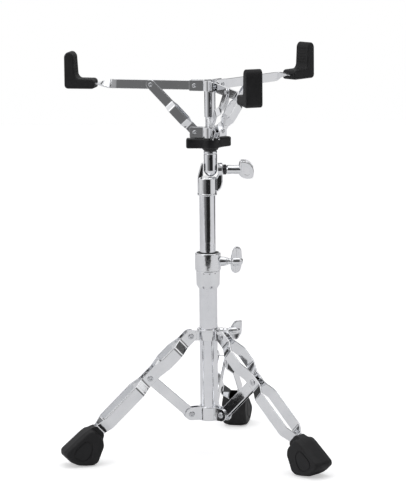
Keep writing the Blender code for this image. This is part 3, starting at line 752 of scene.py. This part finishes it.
def foot_cuts():
    reach = STRIP_AT_FOOT + STRIP_THICK / 2 + GAP
    half = STRIP_WIDTH / 2 - 0.6 + GAP
    cuts = [prism([(200, -reach), (LINK + 143, -reach), (LINK + 143, reach), (200, reach)], -half, half)]
    outer = [(232, 6.4), (240, 10), (258, 10.6), (266, 6), (266, -3)]
    outer += [(262, -12), (252, -16), (242, -13), (233, -6)]
    for side in (1, -1):
        ring = [shrunk(eased(outer, 5.0), inset) for inset in (0.0, 1.7)]
        low, high = sorted((side * (FOOT_HALF - 0.9), side * (FOOT_HALF + 1.0)))
        size = len(ring[0])
        points = [(p.x, y, p.y) for y in (low, high) for loop in ring for p in loop]
        faces = []
        for i in range(size):
            j = (i + 1) % size
            faces.append([i, j, size + j, size + i])
            faces.append([2 * size + i, 3 * size + i, 3 * size + j, 2 * size + j])
            faces.append([i, 2 * size + i, 2 * size + j, j])
            faces.append([size + i, size + j, 3 * size + j, 3 * size + i])
        cuts.append((points, faces))
    return cuts


def sole_cuts():
    """Shallow tread grooves across the sole, square to the leg and level with the floor."""
    grooves = []
    for i in range(4):
        r = 195.0 + 3.0 * i
        grooves.append(prism([(r, -14), (r + 1.0, -14), (r + 1.0, 14), (r, 14)], -2.0, 1.0))
    return grooves


def build_leg(side):
    place = turn_z(LEG_AZIMUTHS[side])
    leg = place @ shift(MIDDLE_PIVOT_R, 0, MIDDLE_PIVOT_Z)
    leg = leg @ Matrix.Rotation(LEG_SLOPE, 4, "Y") @ shift(-LINK, 0, 0)
    body = f"leg_{side}_body"
    for face, sign in (("a", 1), ("b", -1)):
        path = [(s, sign * y, half) for s, y, half in strip_stations()]
        name = f"leg_{side}_strip_{face}"
        piece(name + "_plated", moved(bar(path, STRIP_THICK, 3.2), leg), CHROME, body, [name])

    brace = place @ shift(LEG_PIVOT_R, 0, LOWER_PIVOT_Z) @ Matrix.Rotation(-LEG_SLOPE, 4, "Y")
    reach, wall = BRACE_WIDTH / 2, 1.7
    pocket = [(-20, -20), (LINK + 20, -20), (LINK + 20, reach - wall), (-20, reach - wall)]
    piece(
        f"brace_{side}_pressed",
        moved(slab(stadium(LINK, reach), -BRACE_HALF, BRACE_HALF, 0.2, 0.9), brace @ UPRIGHT),
        CHROME,
        f"brace_{side}_body",
        [f"brace_{side}"],
        cut=[moved(prism(pocket, wall - BRACE_HALF, BRACE_HALF - wall), brace @ UPRIGHT)],
    )

    grips = {
        "upper": (body, leg @ crosswise(0, 0), STRIP_AT_COLLAR),
        "middle": (body, leg @ crosswise(LINK, 0), STRIP_AT_MIDDLE),
        "lower": ("base", place @ crosswise(LEG_PIVOT_R, LOWER_PIVOT_Z), 7.5 - STRIP_THICK / 2),
    }
    for level, (rides_on, spot, centre) in grips.items():
        grip = centre + STRIP_THICK / 2 + GAP
        name = f"{level}_rivet_{side}"
        shape = moved(rivet(LEG_RIVET_HEAD_R, grip, 1.3, 2.9), spot)
        piece(name + "_headed", shape, RIVET_STEEL, rides_on, [name])

    cuts = [moved(shape, leg) for shape in foot_cuts()] + [moved(shape, place) for shape in sole_cuts()]
    foot = moved(foot_shape(), leg)
    piece(f"foot_{side}_moulded", foot, RUBBER, body, [f"foot_{side}"], cut=cuts)


# ---------------------------------------------------------------- basket


def threaded_rod(low, high, r, pitch, depth, sides=48):
    """A rod with a helical thread between two heights."""
    rows = int((high - low) / pitch * 8)
    points = []
    for row in range(rows + 1):
        z = low + (high - low) * row / rows
        fade = min(1.0, (z - low) / pitch, (high - z) / pitch)
        for i in range(sides):
            phase = (z / pitch - i / sides) % 1.0
            crest = min(1.0, 2.6 * min(phase, 1.0 - phase))
            reach = r - depth * (1.0 - crest) * fade
            angle = 2 * math.pi * i / sides
            points.append((reach * math.cos(angle), reach * math.sin(angle), z))
    faces = [list(range(sides)), list(range(rows * sides, (rows + 1) * sides))]
    for row in range(rows):
        for i in range(sides):
            j = (i + 1) % sides
            start = row * sides
            faces.append([start + i, start + j, start + sides + j, start + sides + i])
    return points, faces


def build_mast():
    centre = Matrix.Translation(BASKET)
    r = MAST_R
    ball = [(r * math.cos(math.radians(a)), TILT_Z + r * math.sin(math.radians(a))) for a in range(-85, 1, 5)]
    bore = ROD_R + GAP
    profile = [(0, TILT_Z - r)] + ball
    profile += [(r, MAST_TOP_Z - 5.2), (r - 0.5, MAST_TOP_Z - 4.8), (r - 0.5, MAST_TOP_Z - 4.2)]
    profile += [(r, MAST_TOP_Z - 3.8), (r, MAST_TOP_Z - 0.9), (r - 0.9, MAST_TOP_Z), (bore, MAST_TOP_Z)]
    profile += [(bore, ROD_Z[0] - GAP), (0, ROD_Z[0] - GAP)]
    screw_axis = centre @ along((0, -1, 0), (0, 0, SET_SCREW_Z))
    hole = lathe([(0, 8.4), (2.2, 8.4), (2.2, 12), (0, 12)], SMALL, 0.01)
    piece(
        "mast_plated",
        moved(lathe(profile, reach=0.3), centre),
        TUBE_CHROME,
        "mast_body",
        ["mast"],
        cut=[moved(hole, screw_axis)],
    )
    hexagon = [(1.1 * math.cos(math.radians(60 * i)), 1.1 * math.sin(math.radians(60 * i))) for i in range(6)]
    piece(
        "mast_set_screw",
        moved(lathe([(0, 8.5), (2.0, 8.5), (2.0, 10.0), (0, 10.0)], SMALL, 0.2), screw_axis),
        DARK_STEEL,
        "mast_body",
        cut=[moved(prism(hexagon, 9.0, 11.0), screw_axis)],
    )

    low, high = ROD_Z
    thread = threaded_rod(low, ROD_SLEEVE_Z + 0.3, ROD_R, 1.75, 0.55)
    piece("basket_rod_threaded", moved(thread, centre), CHROME, "mast_body", ["basket_rod"])
    sleeve = [(0, ROD_SLEEVE_Z), (ROD_SLEEVE_R - 0.5, ROD_SLEEVE_Z), (ROD_SLEEVE_R, ROD_SLEEVE_Z + 0.6)]
    sleeve += [(ROD_SLEEVE_R, high - 0.8), (ROD_SLEEVE_R - 0.8, high), (0, high)]
    piece("basket_sleeve_plated", moved(lathe(sleeve), centre), TUBE_CHROME, "mast_body")


def knob_outline():
    """Two swept wings on a round hub, seen from above."""
    outline = []
    reach, half, hub_r = 38.0, 9.0, 15.5
    first, second = 178.0, 42.0
    for wing, following in ((first, second + 360), (second, first)):
        turn = turn_z(wing)
        for x, y in ((21, -half), (reach, -half), (reach, half), (21, half)):
            outline.append((turn @ Vector((x, y, 0))).to_2d())
        steps = round((following - wing - 96) / 8)
        for i in range(steps + 1):
            angle = math.radians(wing + 48 + (following - wing - 96) * i / steps)
            outline.append(Vector((hub_r * math.cos(angle), hub_r * math.sin(angle))))
    return outline


def build_knob():
    centre = Matrix.Translation(BASKET)
    low, high = KNOB_Z
    base = low + 3.7
    bore = lathe([(0, low - 3), (ROD_R + GAP, low - 3), (ROD_R + GAP, high + 3), (0, high + 3)], ROUND, 0.01)
    dish = lathe([(0, high - 1.0), (11.6, high - 1.0), (12.2, high + 1.0), (0, high + 1.0)], ROUND, 0.3)
    bulge = [(0, low), (10.6, low), (11.6, low + 0.6), (13.4, base), (13.4, base + 3), (0, base + 3)]
    collar = [(0, high - 3.0), (11.0, high - 3.0), (11.0, high - 0.2), (10.6, high), (0, high)]
    piece(
        "basket_knob_moulded",
        moved(slab(knob_outline(), base, high, 4.2, 2.4), centre),
        NYLON,
        "knob",
        ["basket_knob"],
        add=[moved(lathe(bulge, reach=0.9), centre)],
        cut=[moved(dish, centre), moved(bore, centre)],
    )
    piece(
        "basket_knob_bushing",
        moved(lathe(collar, ROUND, 0.2), centre),
        DARK_STEEL,
        "knob",
        cut=[moved(bore, centre)],
    )


def build_hub(name, span, barrel_r, body):
    low, high = span
    centre = Matrix.Translation(BASKET)
    middle, bore_r, reach = (low + high) / 2, 9.1, 32.0
    barrel = [(bore_r, low), (barrel_r, low), (barrel_r, high), (bore_r, high)]
    ear = [(9.6, high - 0.1), (9.6, low + 0.1), (reach, low + 0.1), (reach, high - 0.1)]
    azimuths = ARM_AZIMUTHS.values()
    plates = [moved(slab(ear, a, b, 1.6, 0.4), UPRIGHT) for a, b in ((3.9, 6.0), (-6.0, -3.9))]
    bore = lathe([(0, low - 5), (bore_r, low - 5), (bore_r, high + 5), (0, high + 5)], ROUND, 0.01)
    piece(
        name + "_cast",
        moved(lathe(barrel, reach=0.5, closed=True), centre),
        CHROME,
        body,
        [name],
        add=[moved(joined(*ring_of(plate, azimuths)), centre) for plate in plates],
        cut=[moved(bore, centre)],
    )
    for side, azimuth in ARM_AZIMUTHS.items():
        spot = centre @ turn_z(azimuth) @ crosswise(HUB_PIVOT_R, middle)
        node = f"{name}_rivet_{side}"
        shape = moved(rivet(HUB_RIVET_HEAD_R, 6.2, 1.0, 2.4), spot)
        piece(node + "_headed", shape, RIVET_STEEL, body, [node])


def arm_sections():
    """Upright at the hub, a quarter twist, then flat in the grip."""
    half, thick = ARM_WIDTH / 2, ARM_THICK / 2
    stations = [(HUB_PIVOT_R + x, w, 0.0) for x, w in rounded_end(0.0, half, -1)]
    stations += [(HUB_PIVOT_R, half, 0.0), (ARM_TWIST_R[0], half, 0.0)]
    start, end = ARM_TWIST_R
    steps = 28
    for i in range(1, steps + 1):
        share = i / steps
        smooth = share * share * (3 - 2 * share)
        stations.append((start + (end - start) * share, half - 0.2 * share, 90 * smooth))
    stations.append((ARM_END_R, half - 0.2, 90.0))
    sections = []
    for x, w, degrees in stations:
        c, s = math.cos(math.radians(degrees)), math.sin(math.radians(degrees))
        ring = rounded_rectangle(thick, w, min(0.6, w * 0.9))
        sections.append([(x, c * y - s * z, s * y + c * z) for y, z in ring])
    return sections


def grip_shape():
    """An L-shaped rubber rest with soft edges, its post standing outside the drum's rim."""
    outline = [(185, 589.0), (187.4, 586.4), (230.5, 586), (234, 589.5)]
    outline += [(234, 638.5), (229.5, 644), (223.5, 644)]
    outline += [(218.6, 638.6), (216.6, 607), (212, 602), (188.4, 602), (185, 598.6)]
    edge = 2.6
    sections = []
    for i in range(6):
        angle = math.pi / 2 * i / 5
        inset = edge * (1 - math.sin(angle))
        y = GRIP_HALF - edge * (1 - math.cos(angle))
        sections.append((y, shrunk(eased(outline, 3.0), inset)))
    sections += [(-y, ring) for y, ring in reversed(sections)]
    return loft([[(x, y, z) for x, z in ring] for y, ring in sections])


def grip_cuts():
    half, thick = ARM_WIDTH / 2 - 0.2 + GAP, ARM_THICK / 2 + GAP
    slot = [(180, -half), (ARM_END_R + 0.5, -half), (ARM_END_R + 0.5, half), (180, half)]
    cuts = [moved(prism(slot, -thick, thick), shift(z=ARM_PIVOT_Z))]
    for i in range(6):
        z = 612.0 + 4.4 * i
        x = 216.9 + (z - 607) * 0.0595
        cuts.append(prism([(x - 3, -9.5), (x + 0.45, -9.5), (x + 0.45, 9.5), (x - 3, 9.5)], z, z + 1.2))
    for i in range(4):
        x = 190.5 + 5.0 * i
        cuts.append(prism([(x, -9.5), (x + 1.2, -9.5), (x + 1.2, 9.5), (x, 9.5)], 601.5, 604.0))
    return cuts


def build_arm(side):
    place = Matrix.Translation(BASKET) @ turn_z(ARM_AZIMUTHS[side])
    body = f"arm_{side}_body"
    arm = place @ shift(z=ARM_PIVOT_Z)
    piece(f"arm_{side}_plated", moved(loft(arm_sections()), arm), CHROME, body, [f"arm_{side}"])
    cuts = [moved(shape, place) for shape in grip_cuts()]
    grip = moved(grip_shape(), place)
    piece(f"grip_{side}_moulded", grip, RUBBER, body, [f"grip_{side}"], cut=cuts)

    rise = ARM_PIVOT_Z - STRUT_PIVOT_Z
    length = math.hypot(ARM_TO_STRUT, rise)
    strut = place @ shift(HUB_PIVOT_R, 0, STRUT_PIVOT_Z)
    strut = strut @ Matrix.Rotation(-math.atan2(rise, ARM_TO_STRUT), 4, "Y")
    half = ARM_WIDTH / 2
    stations = [(x, STRUT_NARROW, w) for x, w in rounded_end(0.0, half, -1)]
    stations += [(0, STRUT_NARROW, half), (15, STRUT_NARROW, half), (23, STRUT_BULGE, half)]
    stations += [(52, STRUT_BULGE, half), (60, STRUT_NARROW, half), (length, STRUT_NARROW, half)]
    stations += [(x, STRUT_NARROW, w) for x, w in rounded_end(length, half, 1)]
    body = f"strut_{side}_body"
    for face, sign in (("a", 1), ("b", -1)):
        path = [(x, sign * y, w) for x, y, w in stations]
        node = f"strut_{side}_{face}"
        piece(node + "_plated", moved(bar(path, STRUT_THICK, 1.8), strut), CHROME, body, [node])
        node = f"strut_rivet_{side}_{face}"
        spot = strut @ shift(length, 0, 0) @ Matrix.Rotation(-sign * math.pi / 2, 4, "X")
        outer = STRUT_NARROW + STRUT_THICK / 2 + 0.1
        inner = STRUT_NARROW - STRUT_THICK / 2
        shank = lathe([(0, inner), (2.4, inner), (2.4, outer), (0, outer)], SMALL, 0.01)
        head = joined(rivet_head(HUB_RIVET_HEAD_R, outer, 1.0), shank)
        piece(node + "_headed", moved(head, spot), RIVET_STEEL, body, [node])


# ---------------------------------------------------------------- stage


def paper_material():
    """Pale paper, a little brighter to the eye than in the metal's reflections."""
    g = Graph("pale paper")
    tone = g.noise(g.place, 3.0, 3.0)
    g.link(g.mixed(tone, (0.9, 0.9, 0.905), (0.885, 0.885, 0.89)), g.shader.inputs["Base Color"])
    g.shader.inputs["Roughness"].default_value = 0.9
    g.shader.inputs["Specular IOR Level"].default_value = 0.0
    glow = g.add("ShaderNodeEmission", Strength=0.46)
    rays = g.add("ShaderNodeLightPath")
    both = g.add("ShaderNodeAddShader")
    choose = g.add("ShaderNodeMixShader")
    g.link(g.shader.outputs["BSDF"], both.inputs[0])
    g.link(glow.outputs["Emission"], both.inputs[1])
    g.link(rays.outputs["Is Camera Ray"], choose.inputs["Fac"])
    g.link(g.shader.outputs["BSDF"], choose.inputs[1])
    g.link(both.outputs["Shader"], choose.inputs[2])
    g.link(choose.outputs["Shader"], g.tree.nodes["Material Output"].inputs["Surface"])
    return g.material


def build_floor():
    """A sheet of pale paper. It ends in front of the stand and at both sides,
    and the metal mirrors what lies beyond."""
    front, back, left, right = -1.62, 4.0, -2.45, 1.75
    work = bmesh.new()
    corners = ((left, front, 0), (right, front, 0), (right, back, 0), (left, back, 0))
    work.faces.new([work.verts.new(corner) for corner in corners])
    mesh = bpy.data.meshes.new("studio_floor")
    work.to_mesh(mesh)
    work.free()
    floor = linked("studio_floor", mesh)
    mesh.materials.append(paper_material())


def build_world():
    """A white studio with a darker working side in front, as polished metal sees it."""
    world = bpy.data.worlds.new("studio")
    bpy.context.scene.world = world
    world.use_nodes = True
    tree = world.node_tree
    tree.nodes.clear()
    nodes, links = tree.nodes, tree.links
    out = nodes.new("ShaderNodeOutputWorld")
    place = nodes.new("ShaderNodeTexCoord")
    split = nodes.new("ShaderNodeSeparateXYZ")
    links.new(place.outputs["Generated"], split.inputs["Vector"])

    def math_node(operation, first, second):
        node = nodes.new("ShaderNodeMath")
        node.operation = operation
        for socket, value in zip(node.inputs, (first, second)):
            if isinstance(value, (int, float)):
                socket.default_value = value
            else:
                links.new(value, socket)
        return node.outputs["Value"]

    def ramp(value, stops):
        node = nodes.new("ShaderNodeValToRGB")
        elements = node.color_ramp.elements
        while len(elements) < len(stops):
            elements.new(0.5)
        for element, (position, tone) in zip(elements, stops):
            element.position = position
            element.color = (tone, tone, tone * 1.01, 1.0)
        links.new(value, node.inputs["Fac"])
        return node.outputs["Color"]

    # azimuth from the front of the set, 0.5 straight ahead of the stand, 0.75 at its right
    flipped = math_node("MULTIPLY", split.outputs["Y"], -1.0)
    angle = math_node("ARCTAN2", split.outputs["X"], flipped)
    turn = math_node("MULTIPLY_ADD", angle, 0.5 / math.pi)
    turn.node.inputs[2].default_value = 0.5
    walls = ramp(
        turn,
        [(0.0, 0.86), (0.1, 0.8), (0.12, 0.05), (0.16, 0.05), (0.185, 0.85), (0.36, 0.9), (0.43, 0.26)]
        + [(0.47, 0.1), (0.53, 0.04), (0.6, 0.3), (0.66, 0.14), (0.8, 0.07), (0.88, 0.05), (0.91, 0.8)],
    )
    ground = ramp(
        turn,
        [(0.0, 0.6), (0.03, 0.05), (0.12, 0.1), (0.17, 0.2), (0.2, 0.76), (0.31, 0.7), (0.37, 0.34)]
        + [(0.405, 0.17), (0.45, 0.13), (0.475, 0.02), (0.6, 0.016), (0.63, 0.7), (0.8, 0.75)]
        + [(0.825, 0.05), (0.95, 0.04), (0.98, 0.6)],
    )
    lift = nodes.new("ShaderNodeMapRange")
    lift.inputs["From Min"].default_value = -0.06
    lift.inputs["From Max"].default_value = 0.03
    links.new(split.outputs["Z"], lift.inputs["Value"])
    sky = nodes.new("ShaderNodeMapRange")
    sky.inputs["From Min"].default_value = 0.55
    sky.inputs["From Max"].default_value = 0.9
    links.new(split.outputs["Z"], sky.inputs["Value"])

    def mixed(factor, first, second):
        node = nodes.new("ShaderNodeMix")
        node.data_type = "RGBA"
        links.new(factor, node.inputs["Factor"])
        for socket, value in (("A", first), ("B", second)):
            if isinstance(value, tuple):
                node.inputs[socket].default_value = value
            else:
                links.new(value, node.inputs[socket])
        return node.outputs["Result"]

    above = ramp(sky.outputs["Result"], [(0.0, 0.82), (0.12, 0.06), (0.4, 0.05), (0.55, 0.9), (1.0, 0.95)])
    rising = math_node("GREATER_THAN", sky.outputs["Result"], 0.001)
    seen = mixed(rising, mixed(lift.outputs["Result"], ground, walls), above)
    studio = nodes.new("ShaderNodeBackground")
    links.new(seen, studio.inputs["Color"])
    plain = nodes.new("ShaderNodeBackground")
    plain.inputs["Color"].default_value = (1.0, 1.0, 1.0, 1.0)
    rays = nodes.new("ShaderNodeLightPath")
    choose = nodes.new("ShaderNodeMixShader")
    links.new(rays.outputs["Is Camera Ray"], choose.inputs["Fac"])
    links.new(studio.outputs["Background"], choose.inputs[1])
    links.new(plain.outputs["Background"], choose.inputs[2])
    links.new(choose.outputs["Shader"], out.inputs["Surface"])


def build_light(name, place, target, size, power):
    data = bpy.data.lights.new(name, "AREA")
    data.shape = "RECTANGLE"
    data.size, data.size_y = size
    data.energy = power
    lamp = linked(name, data)
    lamp.location = place
    lamp.rotation_mode = "QUATERNION"
    lamp.rotation_quaternion = (Vector(target) - Vector(place)).to_track_quat("-Z", "Y")


def build_camera():
    """A long lens from the front, ten degrees above the horizon."""
    elevation = math.radians(10.066)
    distance = 4.626
    target = Vector((COLUMN.x - 0.0076, COLUMN.y, 0.33207))
    data = bpy.data.cameras.new("camera")
    data.lens = 210.16
    data.sensor_width = 36.0
    data.clip_end = 60.0
    camera = linked("camera", data)
    back = Vector((0, -math.cos(elevation), math.sin(elevation)))
    tilt = Matrix.Rotation(math.pi / 2 - elevation, 4, "X") @ Matrix.Rotation(math.radians(-0.5635), 4, "Z")
    camera.matrix_world = Matrix.Translation(target + back * distance) @ tilt
    bpy.context.scene.camera = camera


def build_stage():
    build_floor()
    build_world()
    middle = (0.0, 0.0, 0.35)
    build_light("overhead", (0.0, 0.0, 2.6), middle, (2.4, 2.0), 9)
    build_light("key", (-1.9, -1.5, 1.9), middle, (1.2, 1.2), 6)
    build_light("fill", (2.2, -0.9, 1.4), middle, (1.0, 1.6), 4)
    build_camera()
    bpy.context.scene.view_settings.view_transform = "Standard"


build_column()
build_tilter()
build_leg_hubs()
for leg_side in SIDES:
    build_leg(leg_side)
build_mast()
build_knob()
build_hub("upper_hub", UPPER_HUB_Z, 11.2, "mast_body")
build_hub("lower_hub", LOWER_HUB_Z, 12.1, "lower_hub_body")
for arm_side in ARM_SIDES:
    build_arm(arm_side)
build_stage()
